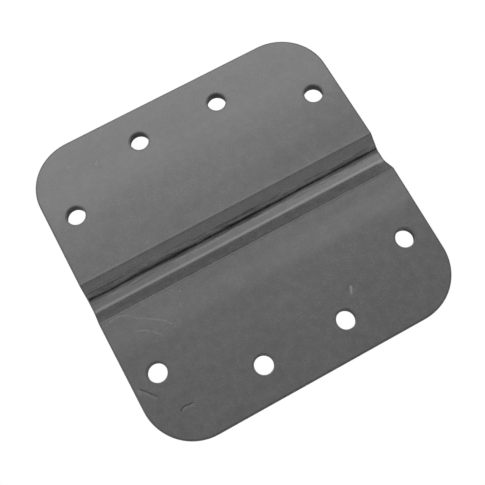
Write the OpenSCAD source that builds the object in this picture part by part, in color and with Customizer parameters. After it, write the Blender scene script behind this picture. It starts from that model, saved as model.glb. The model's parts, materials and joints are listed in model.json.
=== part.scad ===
// Roof anchor plate: one pressed steel sheet, with two flat leaves that fall away from a
// channel across the middle, and eight holes for the screws that hold it to the roof.
// X runs along the channel, Y across it, and Z up. The origin is under the plate's centre,
// on the underside of the channel's floor, which is the lowest face.
// The sheet is split where its flat stretches end, so that each stretch is a solid of its own:
// the two leaves, the two flanks with their bends, and the floor between them.

/* [Plate] */
// Width of the plate, measured along the channel
plate_w = 152.4; // [120:0.1:200]
// Length of each leaf, from the line where both top faces would meet to its outer edge
leaf_len = 77.45; // [64:0.05:110]
// Thickness of the sheet, the same everywhere
plate_t = 4.76; // [2.5:0.01:6]
// Radius of the four corners, seen from above
corner_r = 24; // [5:0.5:30]
// Fall of each leaf towards its outer edge, in degrees
leaf_fall = 2.5; // [0:0.1:8]

/* [Channel] */
// Width of the channel at the top, between the lines where leaf and flank would meet
channel_top_w = 19.8; // [16:0.1:30]
// Width of the channel's floor, between the lines where floor and flank would meet
channel_floor_w = 6; // [5:0.1:8]
// Depth of the floor, below the line where the top faces of both leaves would meet
channel_depth = 6.2; // [4:0.05:8]
// Radius of the crisp shoulder between a leaf's top face and the channel
shoulder_r = 0.4; // [0.3:0.1:2]
// Radius of the hollow bend at the foot of each flank, on the channel's side
foot_r = 4; // [0.5:0.1:4.5]
// Radius of the hollow bend under each shoulder
under_shoulder_r = 1.2; // [0.5:0.1:3]
// Radius of the rounded bend under each foot
under_foot_r = 8.7; // [3:0.1:9.2]

/* [Fixing holes] */
// Diameter of the holes
hole_d = 8.8; // [5:0.1:12]
// Distance from a side hole's centre to the plate's side edge
side_hole_inset = 13; // [9:0.1:20]
// Distance from a side hole's centre to the leaf's outer edge
side_hole_setback = 36; // [30:0.1:42]
// Distance from an outer hole's centre to the leaf's outer edge
outer_hole_inset = 16.6; // [9:0.1:22]
// Distance between the centres of a leaf's two outer holes
outer_hole_spacing = 41.6; // [20:0.1:60]

/* [Hidden] */
$fn = 96;

leaf_color = [0.44, 0.44, 0.45];
flank_color = [0.36, 0.36, 0.37];
floor_color = [0.50, 0.50, 0.51];

// Number of straight steps that round off each bend of the cross-section
bend_steps = 12;

// Height of the line where the top faces of both leaves would meet
ridge_z = plate_t + channel_depth;

// Where the top face of a leaf would meet its flank, across the channel and up
shoulder_y = channel_top_w / 2;
shoulder_z = ridge_z - shoulder_y * tan(leaf_fall);

// Where the floor's top face would meet the flank, across the channel
foot_y = channel_floor_w / 2;

// Slope of a flank, and how far the sheet turns at the shoulder
flank_angle = atan2(shoulder_z - plate_t, shoulder_y - foot_y);
shoulder_turn = flank_angle + leaf_fall;

// How far the bends reach into the floor and, along its plane, into the leaf
foot_reach = max(foot_r, under_foot_r - plate_t) * tan(flank_angle / 2);
shoulder_reach = max(shoulder_r, under_shoulder_r + plate_t) * tan(shoulder_turn / 2);

// Half the width of the floor's flat stretch, and where a leaf starts in its own plane
floor_half = foot_y - foot_reach;
leaf_start = shoulder_y / cos(leaf_fall) + shoulder_reach;

// Centres of a leaf's holes, in the leaf's own plane
side_hole_x = plate_w / 2 - side_hole_inset;
side_hole_y = leaf_len - side_hole_setback;
outer_hole_x = outer_hole_spacing / 2;
outer_hole_y = leaf_len - outer_hole_inset;

// A point at the given distance from another, at the given angle above the Y axis
function beyond(point, distance, angle) =
    [point[0] + distance * cos(angle), point[1] + distance * sin(angle)];

// A point on the sheet's underside, square below the one where its top faces turn by an angle
function below(point, from, to) =
    beyond(point, plate_t / cos((to - from) / 2), (from + to) / 2 - 90);

// Points of an arc that rounds off a corner, where a line at one angle turns to another
function bend(corner, from, to, radius) =
    let (
        hand = sign(to - from),
        start = beyond(corner, -radius * tan(abs(to - from) / 2), from),
        centre = beyond(start, hand * radius, from + 90)
    )
    [for (i = [0:bend_steps])
        beyond(centre, hand * radius, from - 90 + (to - from) * i / bend_steps)];

// The list of points, last one first
function reversed(points) = [for (i = [len(points) - 1:-1:0]) points[i]];

// Cross-section of the flank towards +Y, from the floor's flat stretch to the leaf's
module flank_section() {
    foot = [foot_y, plate_t];
    shoulder = [shoulder_y, shoulder_z];
    leaf_top = beyond([0, ridge_z], leaf_start, -leaf_fall);
    top = concat(
        [[floor_half, plate_t]],
        bend(foot, 0, flank_angle, foot_r),
        bend(shoulder, flank_angle, -leaf_fall, shoulder_r),
        [leaf_top]
    );
    underside = concat(
        [[floor_half, 0]],
        bend(below(foot, 0, flank_angle), 0, flank_angle, under_foot_r),
        bend(below(shoulder, flank_angle, -leaf_fall), flank_angle, -leaf_fall, under_shoulder_r),
        [beyond(leaf_top, plate_t, -leaf_fall - 90)]
    );
    polygon(concat(top, reversed(underside)));
}

// Stretches a cross-section of the channel, drawn across Y and up Z, over the plate's width
module across_width() {
    rotate([90, 0, 90]) translate([0, 0, -plate_w / 2]) linear_extrude(plate_w) children();
}

// Outline of a leaf in its own plane, square where it meets the flank and round at its corners
module leaf_outline() {
    straight_w = plate_w - 2 * corner_r;
    translate([-plate_w / 2, leaf_start]) square([plate_w, leaf_len - corner_r - leaf_start]);
    translate([-straight_w / 2, leaf_start]) square([straight_w, leaf_len - leaf_start]);
    for (side = [-1, 1])
        translate([side * straight_w / 2, leaf_len - corner_r]) circle(r = corner_r);
}

// The four holes of a leaf, in its own plane
module leaf_holes() {
    for (side = [-1, 1]) {
        translate([side * side_hole_x, side_hole_y]) circle(d = hole_d);
        translate([side * outer_hole_x, outer_hole_y]) circle(d = hole_d);
    }
}

// A leaf towards +Y, laid in its plane and tipped down at its outer edge
module leaf() {
    translate([0, 0, ridge_z]) rotate([-leaf_fall, 0, 0])
        translate([0, 0, -plate_t]) linear_extrude(plate_t) difference() {
            leaf_outline();
            leaf_holes();
        }
}

module rear_leaf() {
    color(leaf_color) leaf();
}

module front_leaf() {
    color(leaf_color) mirror([0, 1, 0]) leaf();
}

module rear_flank() {
    color(flank_color) across_width() flank_section();
}

module front_flank() {
    color(flank_color) mirror([0, 1, 0]) across_width() flank_section();
}

module channel_floor() {
    color(floor_color) across_width()
        translate([-floor_half, 0]) square([2 * floor_half, plate_t]);
}

rear_leaf();
rear_flank();
channel_floor();
front_flank();
front_leaf();
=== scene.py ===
"""A roof anchor plate: one sheet of steel, pressed with a channel across its middle.

The sheet is made the way a shop makes it. Each stretch of it starts as a flat blank, with its
edges and holes already cut. A Geometry Nodes tree then welds the hole walls in, presses the
blank to the section of the channel and gives it its coat. The five stretches share their seam
rows point for point, so that the sheet runs on from one to the next.

X runs along the channel, Y across it towards the rear leaf, and Z up. Sizes are in metres.
"""

import json
import logging
import math
from abc import ABC, abstractmethod
from collections.abc import Iterable, Sequence
from dataclasses import dataclass, field
from enum import Enum

import bmesh
import bpy
from mathutils import Matrix, Vector
from mathutils.geometry import delaunay_2d_cdt

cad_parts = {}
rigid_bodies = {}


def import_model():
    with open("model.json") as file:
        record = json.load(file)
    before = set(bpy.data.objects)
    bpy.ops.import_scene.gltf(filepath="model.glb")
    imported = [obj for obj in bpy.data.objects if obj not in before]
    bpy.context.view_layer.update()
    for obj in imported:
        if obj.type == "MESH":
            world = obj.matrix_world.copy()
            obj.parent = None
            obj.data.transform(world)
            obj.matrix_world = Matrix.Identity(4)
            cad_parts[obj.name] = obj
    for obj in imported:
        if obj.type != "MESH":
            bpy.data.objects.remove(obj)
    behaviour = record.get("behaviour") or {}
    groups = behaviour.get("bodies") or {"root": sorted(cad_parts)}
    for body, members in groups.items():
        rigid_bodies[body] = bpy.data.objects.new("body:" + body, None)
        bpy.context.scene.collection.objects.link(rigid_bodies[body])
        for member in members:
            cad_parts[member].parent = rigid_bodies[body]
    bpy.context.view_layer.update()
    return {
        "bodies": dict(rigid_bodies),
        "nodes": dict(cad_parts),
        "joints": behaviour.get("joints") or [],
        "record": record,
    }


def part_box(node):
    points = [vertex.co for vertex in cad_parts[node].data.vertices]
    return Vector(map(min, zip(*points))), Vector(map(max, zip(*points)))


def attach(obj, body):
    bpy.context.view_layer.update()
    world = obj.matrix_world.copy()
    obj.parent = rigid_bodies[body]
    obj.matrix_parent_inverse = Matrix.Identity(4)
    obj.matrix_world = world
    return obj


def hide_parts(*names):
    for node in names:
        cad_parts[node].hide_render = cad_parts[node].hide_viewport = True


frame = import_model()

LOG = logging.getLogger("anchor_plate")
MM = 0.001
BODY = "root"

# Labels that the blanks carry for the press and for the coat.
STRETCH, ALONG, UNDER, RUN = "stretch", "along", "under_along", "run"
RIM, CUT_EDGE = "rim", "cut_edge"

Spot = tuple[float, float]  # Two numbers that belong together, such as a place or a reach.
Vert = bmesh.types.BMVert


class Stretch(Enum):
    """The stretches of the sheet, from a leaf to the channel's floor, as the press counts them."""

    LEAF = 0
    SHOULDER = 1
    FLANK = 2
    FOOT = 3
    FLOOR = 4


class Side(Enum):
    """The side of the channel that a stretch lies on; the value is its sign along Y."""

    REAR = 1
    FRONT = -1

    @property
    def word(self) -> str:
        """The side's name in lower case, as pieces and mounts use it."""
        return self.name.lower()


# --------------------------------------------------------------------------------------
# Sizes
# --------------------------------------------------------------------------------------


@dataclass(frozen=True)
class PlateSizes:
    """Sizes of the plate in metres and radians. Those without a default come from the frame."""

    half_width: float
    thickness: float
    leaf_fall: float
    ridge_height: float
    leaf_start: float
    leaf_length: float
    floor_half: float
    corner_radius: float
    hole_radius: float
    hole_centres: tuple[Spot, ...]
    channel_top_width: float = 19.8 * MM
    channel_floor_width: float = 6.0 * MM
    shoulder_radius: float = 0.4 * MM
    foot_radius: float = 4.0 * MM
    under_shoulder_radius: float = 1.2 * MM
    under_foot_radius: float = 8.7 * MM

    @classmethod
    def from_frame(cls, packed: dict) -> "PlateSizes":
        """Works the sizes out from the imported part.


        Returns:
            The sizes, with the hole centres of the rear leaf in its own flat plane.
        """
        bores = {m["name"]: m for m in packed["record"]["mounts"] if m["kind"] == "bore"}
        rear = [m for name, m in bores.items() if name.startswith(Side.REAR.word)]
        thickness = rear[0]["dims"]["length_mm"] * MM
        axis = rear[0]["axis"]
        fall = math.atan2(axis[1], axis[2])
        _, y, z = rear[0]["pos_m"]
        ridge = z + (thickness / 2 + y * math.sin(fall)) / math.cos(fall)
        _, leaf_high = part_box("rear_leaf")
        _, flank_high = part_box("rear_flank")
        _, floor_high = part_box("channel_floor")
        outer_edge = [
            abs(v.co.x)
            for v in packed["nodes"]["rear_leaf"].data.vertices
            if v.co.y > leaf_high.y - 0.01 * MM
        ]
        centres = tuple(
            (
                m["pos_m"][0],
                m["pos_m"][1] * math.cos(fall) - (m["pos_m"][2] - ridge) * math.sin(fall),
            )
            for m in rear
        )
        return cls(
            half_width=leaf_high.x,
            thickness=thickness,
            leaf_fall=fall,
            ridge_height=ridge,
            leaf_start=flank_high.y / math.cos(fall),
            leaf_length=leaf_high.y / math.cos(fall),
            floor_half=floor_high.y,
            corner_radius=leaf_high.x - max(outer_edge),
            hole_radius=rear[0]["dims"]["r_mm"] * MM,
            hole_centres=centres,
        )


@dataclass(frozen=True)
class Level:
    """One ring of a cut edge: how far in from the edge it lies, how deep, and how exposed; exposed
    rings are painted lighter, as rubbed coat and painted highlight.
    """

    inset: float
    depth: float
    wear: float


@dataclass(frozen=True)
class EdgeProfile:
    """How a cut edge runs from the sheet's face down to its underside.

    The tool first rolls the face over, then shears the upper part smooth, and the lower part
    tears and stands back a little.
    """

    thickness: float
    tear_inset: float = 0.08 * MM
    land: float = 0.55
    land_middle: float = 0.55
    land_wear: float = 0.0
    tear_height: float = 0.2 * MM
    tear_wear: float = 0.6
    roll_inset: float = 0.8 * MM
    roll_depth: float = 0.36 * MM
    under_round: float = 0.35 * MM
    margin: float = 0.2 * MM
    steps: int = 6

    def levels(self) -> list[Level]:
        """Lists the rings of the edge.

        Returns:
            The rings, from a narrow flat margin on the face to the one on the underside.
        """
        turns = [math.pi / 2 * i / self.steps for i in range(self.steps + 1)]
        face = self.roll_inset + self.margin
        rings = [Level(face, 0.0, 0.0)]
        for a in turns:
            inset = self.roll_inset * (1 - math.sin(a))
            depth = self.roll_depth * (1 - math.cos(a))
            rings.append(Level(inset, depth, math.sin(2 * a)))
        land_end = self.thickness * self.land
        rings.append(Level(0.0, land_end * self.land_middle, self.land_wear))
        rings.append(Level(0.0, land_end, self.tear_wear))
        rings.append(Level(self.tear_inset, land_end + self.tear_height, 0.0))
        for a in turns:
            inset = self.tear_inset + self.under_round * (1 - math.cos(a))
            depth = self.thickness - self.under_round * (1 - math.sin(a))
            rings.append(Level(inset, depth, math.sin(2 * a)))
        rings.append(Level(face, self.thickness, 0.0))
        return rings


# --------------------------------------------------------------------------------------
# Writing node trees
# --------------------------------------------------------------------------------------


class Wire:
    """An output of a node. Arithmetic on it adds the Math nodes that work it out."""

    def __init__(self, graph: "Graph", socket: bpy.types.NodeSocket) -> None:
        """Keeps the socket with the graph that new nodes go to."""
        self.graph = graph
        self.socket = socket

    def __add__(self, other: "Wire | float") -> "Wire":
        """The sum with another value."""
        return self.graph.math("ADD", self, other)

    def __radd__(self, other: float) -> "Wire":
        """The sum with a plain number."""
        return self.graph.math("ADD", other, self)

    def __sub__(self, other: "Wire | float") -> "Wire":
        """The difference from another value."""
        return self.graph.math("SUBTRACT", self, other)

    def __rsub__(self, other: float) -> "Wire":
        """A plain number less this value."""
        return self.graph.math("SUBTRACT", other, self)

    def __mul__(self, other: "Wire | float") -> "Wire":
        """The product with another value."""
        return self.graph.math("MULTIPLY", self, other)

    def __rmul__(self, other: float) -> "Wire":
        """The product with a plain number."""
        return self.graph.math("MULTIPLY", other, self)

    def __truediv__(self, other: "Wire | float") -> "Wire":
        """The quotient by another value."""
        return self.graph.math("DIVIDE", self, other)

    def __neg__(self) -> "Wire":
        """The value with its sign turned."""
        return self.graph.math("MULTIPLY", self, -1.0)


Value = Wire | float
Pair = tuple[Value, Value]


class Graph:
    """Writes nodes into one tree. A number given to an input is set on it, a wire is linked."""

    def __init__(self, tree: bpy.types.NodeTree) -> None:
        """Keeps the tree to write to."""
        self.tree = tree

    def node(self, kind: str, settings: dict | None = None, **inputs) -> bpy.types.Node:
        """Adds a node.

        Args:
            kind: The node's type name.
            settings: Properties to set on the node itself.
            **inputs: Values by input name or identifier, with _ for a space.

        Returns:
            The new node.
        """
        made = self.tree.nodes.new(kind)
        made.location = (190 * (len(self.tree.nodes) % 24), -220 * (len(self.tree.nodes) // 24))
        for name, value in (settings or {}).items():
            setattr(made, name, value)
        for name, value in inputs.items():
            self.plug(made, name, value)
        return made

    def plug(self, node: bpy.types.Node, name: str, value: object) -> None:
        """Gives an input its value.

        Args:
            node: The node that has the input.
            name: The input's name with _ for a space, or its identifier.
            value: A wire, a socket or a plain value.
        """
        spaced = name.replace("_", " ")
        socket = next(
            s for s in node.inputs if s.enabled and (s.identifier == name or s.name == spaced)
        )
        if isinstance(value, Wire):
            value = value.socket
        if isinstance(value, bpy.types.NodeSocket):
            self.tree.links.new(value, socket)
        else:
            socket.default_value = value

    def wire(self, node: bpy.types.Node, name: str | int = 0) -> Wire:
        """The wire that leaves a node's output of that name or number."""
        return Wire(self, node.outputs[name])

    def math(self, operation: str, *values: Value) -> Wire:
        """Adds a Math node.

        Args:
            operation: What it does.
            *values: The values for its inputs, in order.

        Returns:
            The wire of its result.
        """
        made = self.node("ShaderNodeMath", {"operation": operation})
        self._fill(made, values)
        return self.wire(made)

    def vector(self, operation: str, *values: Wire | Sequence[float]) -> Wire:
        """Adds a Vector Math node.

        Args:
            operation: What it does.
            *values: The values for its inputs, in order.

        Returns:
            The wire of its result, a number for a dot product or a length and else a vector.
        """
        made = self.node("ShaderNodeVectorMath", {"operation": operation})
        self._fill(made, values)
        return self.wire(made, "Value" if operation in ("DOT_PRODUCT", "LENGTH") else "Vector")

    def _fill(self, node: bpy.types.Node, values: Sequence[Value | Sequence[float]]) -> None:
        """Gives a node's inputs their values.

        Args:
            node: The node.
            values: A wire or a plain value for each input, in order.
        """
        for socket, value in zip(node.inputs, values):
            if isinstance(value, Wire):
                self.tree.links.new(value.socket, socket)
            else:
                socket.default_value = value

    def split(self, vector: Wire) -> tuple[Wire, Wire, Wire]:
        """The three parts of a vector."""
        made = self.node("ShaderNodeSeparateXYZ", Vector=vector)
        return self.wire(made, "X"), self.wire(made, "Y"), self.wire(made, "Z")

    def join(self, x: Value, y: Value, z: Value) -> Wire:
        """The vector with these three parts."""
        return self.wire(self.node("ShaderNodeCombineXYZ", X=x, Y=y, Z=z))

    def ramp(
        self, value: Wire, start: Value, end: Value, low: Value = 0.0, high: Value = 1.0
    ) -> Wire:
        """Eases from one value to another.

        Args:
            value: What the result depends on.
            start: The value where the result leaves the low one.
            end: The value where it reaches the high one.
            low: The result before the start.
            high: The result past the end.

        Returns:
            The wire of the result.
        """
        made = self.node(
            "ShaderNodeMapRange",
            {"interpolation_type": "SMOOTHSTEP"},
            Value=value,
            From_Min=start,
            From_Max=end,
            To_Min=low,
            To_Max=high,
        )
        return self.wire(made)

    def noise(self, vector: Wire, scale: Value, detail: float = 2.0, roughness: float = 0.5) -> Wire:
        """Adds a Noise Texture.

        Args:
            vector: The place.
            scale: How many cells there are a metre.
            detail: How many finer layers are added.
            roughness: How strong the finer layers are.

        Returns:
            The wire of its value, which lies around one half.
        """
        made = self.node(
            "ShaderNodeTexNoise", Vector=vector, Scale=scale, Detail=detail, Roughness=roughness
        )
        return self.wire(made)

    def mix(self, share: Value, start: Value, end: Value) -> Wire:
        """The value at a share of the way from start to end."""
        return (end - start) * share + start

    def clamp(self, value: Wire) -> Wire:
        """The value kept between 0 and 1."""
        return self.math("MAXIMUM", self.math("MINIMUM", value, 1.0), 0.0)


def add_sockets(tree: bpy.types.NodeTree, way: str, kind: str, names: Iterable[str]) -> None:
    """Adds sockets of one kind to a group's interface.

    Args:
        tree: The node group.
        way: "INPUT" or "OUTPUT".
        kind: The socket type's name.
        names: The sockets' names.
    """
    for name in names:
        tree.interface.new_socket(name=name, in_out=way, socket_type=kind)


def identifier(tree: bpy.types.NodeTree, name: str) -> str:
    """Finds what a modifier sets a group's input by.

    Args:
        tree: The node group.
        name: The input's name.

    Returns:
        The input's identifier.
    """
    return next(
        item.identifier
        for item in tree.interface.items_tree
        if item.name == name and item.in_out == "INPUT"
    )


# --------------------------------------------------------------------------------------
# The press
# --------------------------------------------------------------------------------------


class Press:
    """The Geometry Nodes tree that turns a flat blank into a stretch of the pressed plate."""

    LENGTHS = (
        "Thickness",
        "Ridge Height",
        "Shoulder Y",
        "Foot Y",
        "Leaf Start",
        "Shoulder Radius",
        "Foot Radius",
        "Under Shoulder Radius",
        "Under Foot Radius",
        "Ripple Height",
        "Ripple Length",
        "Crown Height",
        "Leaf Length",
        "Wave Height",
        "Weld Distance",
    )
    ANGLES = ("Leaf Fall",)
    NUMBERS = ("Waves Per Metre", "Wave Seed")
    WAVE_FADE = 30 * MM

    def __init__(self) -> None:
        """Builds the tree."""
        self.tree = bpy.data.node_groups.new("press_plate", "GeometryNodeTree")
        self.tree.is_modifier = True
        self.graph = Graph(self.tree)
        add_sockets(self.tree, "INPUT", "NodeSocketGeometry", ["Blank"])
        add_sockets(self.tree, "INPUT", "NodeSocketFloat", self.LENGTHS + self.ANGLES + self.NUMBERS)
        add_sockets(self.tree, "INPUT", "NodeSocketObject", ["Hole Wall", "Hole Centres"])
        add_sockets(self.tree, "INPUT", "NodeSocketMaterial", ["Face Coat", "Edge Coat"])
        add_sockets(self.tree, "OUTPUT", "NodeSocketGeometry", ["Plate"])
        self.inputs = self.graph.node("NodeGroupInput")
        punched = self._punched()
        pressed = self._pressed(punched)
        self._coated(pressed)

    def _size(self, name: str) -> Wire:
        """The wire of one named input."""
        return self.graph.wire(self.inputs, name)

    def _punched(self) -> bpy.types.NodeSocket:
        """Sets a wall into each hole of the blank and welds it in.

        Returns:
            The blank's geometry, closed all round.
        """
        g = self.graph
        settings = {"transform_space": "ORIGINAL"}
        wall = g.node("GeometryNodeObjectInfo", settings, Object=self._size("Hole Wall"))
        centres = g.node("GeometryNodeObjectInfo", settings, Object=self._size("Hole Centres"))
        placed = g.node(
            "GeometryNodeInstanceOnPoints",
            Points=centres.outputs["Geometry"],
            Instance=wall.outputs["Geometry"],
        )
        realized = g.node("GeometryNodeRealizeInstances", Geometry=placed.outputs["Instances"])
        joined = g.node("GeometryNodeJoinGeometry")
        self.tree.links.new(self.inputs.outputs["Blank"], joined.inputs[0])
        self.tree.links.new(realized.outputs[0], joined.inputs[0])
        welded = g.node(
            "GeometryNodeMergeByDistance",
            Geometry=joined.outputs[0],
            Distance=self._size("Weld Distance"),
        )
        return welded.outputs[0]

    def _beyond(self, point: Pair, distance: Value, angle: Value) -> Pair:
        """Steps away from a point of the section.

        Args:
            point: The point to start from.
            distance: How far to go.
            angle: The direction, as an angle above the Y axis.

        Returns:
            The point there.
        """
        g = self.graph
        return (
            point[0] + distance * g.math("COSINE", angle),
            point[1] + distance * g.math("SINE", angle),
        )

    def _below(self, point: Pair, start: Value, end: Value) -> Pair:
        """Finds the corner of the underside that lies under a corner of the face.

        Args:
            point: The face's corner.
            start: The angle of the face before the corner.
            end: The angle of the face past it.

        Returns:
            The underside's corner.
        """
        g = self.graph
        slant = self._size("Thickness") / g.math("COSINE", (end - start) * 0.5)
        return self._beyond(point, slant, (start + end) * 0.5 - math.pi / 2)

    def _bend(
        self, corner: Pair, start: Value, end: Value, hand: int, radius: Wire, along: Value
    ) -> Pair:
        """A point of the arc that rounds off a corner of the section.

        Args:
            corner: Where the two straight lines would meet.
            start: The angle of the first line.
            end: The angle of the second line.
            hand: 1 where the section turns upwards and -1 where it turns downwards.
            radius: The arc's radius.
            along: The share of the arc that has been passed, from 0 to 1.

        Returns:
            The point, across the channel and up.
        """
        g = self.graph
        reach = radius * g.math("TANGENT", (end - start) * (0.5 * hand))
        first = self._beyond(corner, -reach, start)
        arm = radius * float(hand)
        centre = self._beyond(first, arm, start + math.pi / 2)
        return self._beyond(centre, arm, g.mix(along, start, end) - math.pi / 2)

    def _between(self, a: Pair, b: Pair, share: Wire) -> Pair:
        """The point at a share of the way from a to b."""
        return self.graph.mix(share, a[0], b[0]), self.graph.mix(share, a[1], b[1])

    def _pressed(self, blank: bpy.types.NodeSocket) -> bpy.types.NodeSocket:
        """Moves every point of the blank to its place in the pressed section.

        Args:
            blank: The flat, closed geometry.

        Returns:
            The pressed geometry.
        """
        g = self.graph
        position = g.wire(g.node("GeometryNodeInputPosition"))
        x, flat_y, flat_z = g.split(position)
        side = g.math("SIGN", flat_y)
        out = g.math("ABSOLUTE", flat_y)
        along, under_along = self._label(ALONG, "FLOAT"), self._label(UNDER, "FLOAT")
        share = -flat_z / self._size("Thickness")

        fall = self._size("Leaf Fall")
        ridge = self._size("Ridge Height")
        down = -fall
        foot = (self._size("Foot Y"), self._size("Thickness"))
        shoulder_y = self._size("Shoulder Y")
        shoulder = (shoulder_y, ridge - shoulder_y * g.math("TANGENT", fall))
        rise = g.math("ARCTAN2", shoulder[1] - foot[1], shoulder[0] - foot[0])
        level = 0.0
        under_foot = self._below(foot, level, rise)
        under_shoulder = self._below(shoulder, rise, down)

        def foot_bend(at: Value, under_at: Value) -> tuple[Pair, Pair]:
            """Finds two points in the foot's bend.

            Args:
                at: The share of the face's arc that has been passed.
                under_at: The same for the underside's arc.

            Returns:
                The face's point and the underside's.
            """
            radius, under_radius = self._size("Foot Radius"), self._size("Under Foot Radius")
            face = self._bend(foot, level, rise, 1, radius, at)
            under = self._bend(under_foot, level, rise, 1, under_radius, under_at)
            return face, under

        def shoulder_bend(at: Value, under_at: Value) -> tuple[Pair, Pair]:
            """Finds two points in the shoulder's bend.

            Args:
                at: The share of the face's arc that has been passed.
                under_at: The same for the underside's arc.

            Returns:
                The face's point and the underside's.
            """
            radius, under_radius = self._size("Shoulder Radius"), self._size("Under Shoulder Radius")
            face = self._bend(shoulder, rise, down, -1, radius, at)
            under = self._bend(under_shoulder, rise, down, -1, under_radius, under_at)
            return face, under

        foot_end = foot_bend(1.0, 1.0)
        shoulder_end = shoulder_bend(0.0, 0.0)
        flank = tuple(self._between(foot_end[i], shoulder_end[i], along) for i in (0, 1))
        leaf_start = self._beyond((0.0, ridge), self._size("Leaf Start"), down)
        face, under = shoulder_bend(along, under_along)
        run_out = (self._between(face, leaf_start, self._label(RUN, "FLOAT")), under)
        leaf = (
            out * g.math("COSINE", fall) + flat_z * g.math("SINE", fall),
            ridge - out * g.math("SINE", fall) + flat_z * g.math("COSINE", fall),
        )
        places = {
            Stretch.LEAF: leaf,
            Stretch.SHOULDER: self._between(*run_out, share),
            Stretch.FLANK: self._between(*flank, share),
            Stretch.FOOT: self._between(*foot_bend(along, under_along), share),
            Stretch.FLOOR: (out, self._size("Thickness") + flat_z),
        }
        chosen = g.node("GeometryNodeIndexSwitch", {"data_type": "VECTOR"})
        while len(chosen.index_switch_items) < len(places):
            chosen.index_switch_items.new()
        g.plug(chosen, "Index", self._label(STRETCH, "INT"))
        for stretch, (y, z) in places.items():
            g.plug(chosen, str(stretch.value), g.join(x, y * side, z))
        moved = g.node("GeometryNodeSetPosition", Geometry=blank, Position=chosen.outputs[0])
        return self._worked(moved.outputs[0])

    def _worked(self, plate: bpy.types.NodeSocket) -> bpy.types.NodeSocket:
        """Shifts the leaves by what the press did to them, the same through the whole thickness.

        A fine ripple follows the tool's edge outside each shoulder. Beyond it each leaf is
        slightly crowned, and slow waves run over it.

        Args:
            plate: The pressed geometry.

        Returns:
            The geometry as the press leaves it.
        """
        g = self.graph
        x, y, _ = g.split(g.wire(g.node("GeometryNodeInputPosition")))
        out = g.math("ABSOLUTE", y)
        edge = self._size("Leaf Start")
        turns = g.clamp((edge - out) / self._size("Ripple Length"))
        ripple = (1.0 - g.math("COSINE", turns * (2 * math.pi))) * 0.5
        across = g.clamp((out - edge) / (self._size("Leaf Length") - edge))
        crown = across * (1.0 - across) * 4.0
        place = g.join(x, y, self._size("Wave Seed"))
        fade = g.ramp(out, edge, edge + self.WAVE_FADE)
        wave = g.noise(place, self._size("Waves Per Metre"), detail=1.0) * fade
        sink = (
            ripple * self._size("Ripple Height")
            + wave * self._size("Wave Height")
            - crown * self._size("Crown Height")
        )
        lowered = g.node("GeometryNodeSetPosition", Geometry=plate, Offset=g.join(0.0, 0.0, -sink))
        return lowered.outputs[0]

    def _label(self, name: str, kind: str) -> Wire:
        """The wire of one of the labels that the blanks carry."""
        return self.graph.wire(
            self.graph.node("GeometryNodeInputNamedAttribute", {"data_type": kind}, Name=name)
        )

    def _coated(self, plate: bpy.types.NodeSocket) -> None:
        """Coats the faces and the cut edges and hands the plate on.

        Args:
            plate: The pressed geometry.
        """
        g = self.graph
        realized = g.node("GeometryNodeRealizeInstances", Geometry=plate)
        faces = g.node(
            "GeometryNodeSetMaterial",
            Geometry=realized.outputs[0],
            Material=self._size("Face Coat"),
        )
        edges = g.node(
            "GeometryNodeSetMaterial",
            Geometry=faces.outputs[0],
            Selection=self._label(CUT_EDGE, "BOOLEAN"),
            Material=self._size("Edge Coat"),
        )
        out = g.node("NodeGroupOutput")
        self.tree.links.new(edges.outputs[0], out.inputs[0])

    def press(self, blank: bpy.types.Object, settings: dict[str, object]) -> bpy.types.Mesh:
        """Runs the tree on a blank.

        Args:
            blank: The flat blank; it is deleted afterwards.
            settings: A value for each named input.

        Returns:
            The pressed stretch as a plain mesh.
        """
        modifier = blank.modifiers.new("press", "NODES")
        modifier.node_group = self.tree
        for name, value in settings.items():
            modifier[identifier(self.tree, name)] = value
        depsgraph = bpy.context.evaluated_depsgraph_get()
        mesh = bpy.data.meshes.new_from_object(
            blank.evaluated_get(depsgraph), preserve_all_data_layers=True, depsgraph=depsgraph
        )
        blank.modifiers.remove(modifier)
        bpy.data.objects.remove(blank)
        for label in (STRETCH, ALONG, UNDER, RUN, CUT_EDGE):
            if label in mesh.attributes:
                mesh.attributes.remove(mesh.attributes[label])
        return mesh


# --------------------------------------------------------------------------------------
# Marks that handling left in the leaves
# --------------------------------------------------------------------------------------


class Mark(ABC):
    """A small hollow in a leaf's face.

    Its places are in the leaf's flat plane: along X, and outwards from the channel's middle.
    """

    @abstractmethod
    def points(self) -> list[Vector]:
        """The points that the face needs there."""

    @abstractmethod
    def depth_at(self, place: Vector) -> float:
        """How deep the mark is at a place of the face."""

    @abstractmethod
    def covers(self, place: Vector) -> bool:
        """Whether the mark brings its own points there."""


@dataclass(frozen=True)
class Dent(Mark):
    """A shallow round dent."""

    centre: Spot
    radius: float
    depth: float
    rings: int = 3
    room: float = 1.35

    def points(self) -> list[Vector]:
        """Lists the centre and rings of points round it.

        Returns:
            The points.
        """
        found = [Vector(self.centre)]
        for ring in range(1, self.rings + 1):
            reach = self.radius * ring / self.rings
            for i in range(5 * ring):
                a = 2 * math.pi * i / (5 * ring)
                found.append(found[0] + Vector((math.cos(a), math.sin(a))) * reach)
        return found

    def depth_at(self, place: Vector) -> float:
        """A bowl that meets the face without an edge."""
        t = min(1.0, (place - Vector(self.centre)).length / self.radius)
        return self.depth * (1 - t * t) ** 2

    def covers(self, place: Vector) -> bool:
        """Whether the place is in the dent or close to it."""
        return (place - Vector(self.centre)).length < self.radius * self.room


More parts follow.
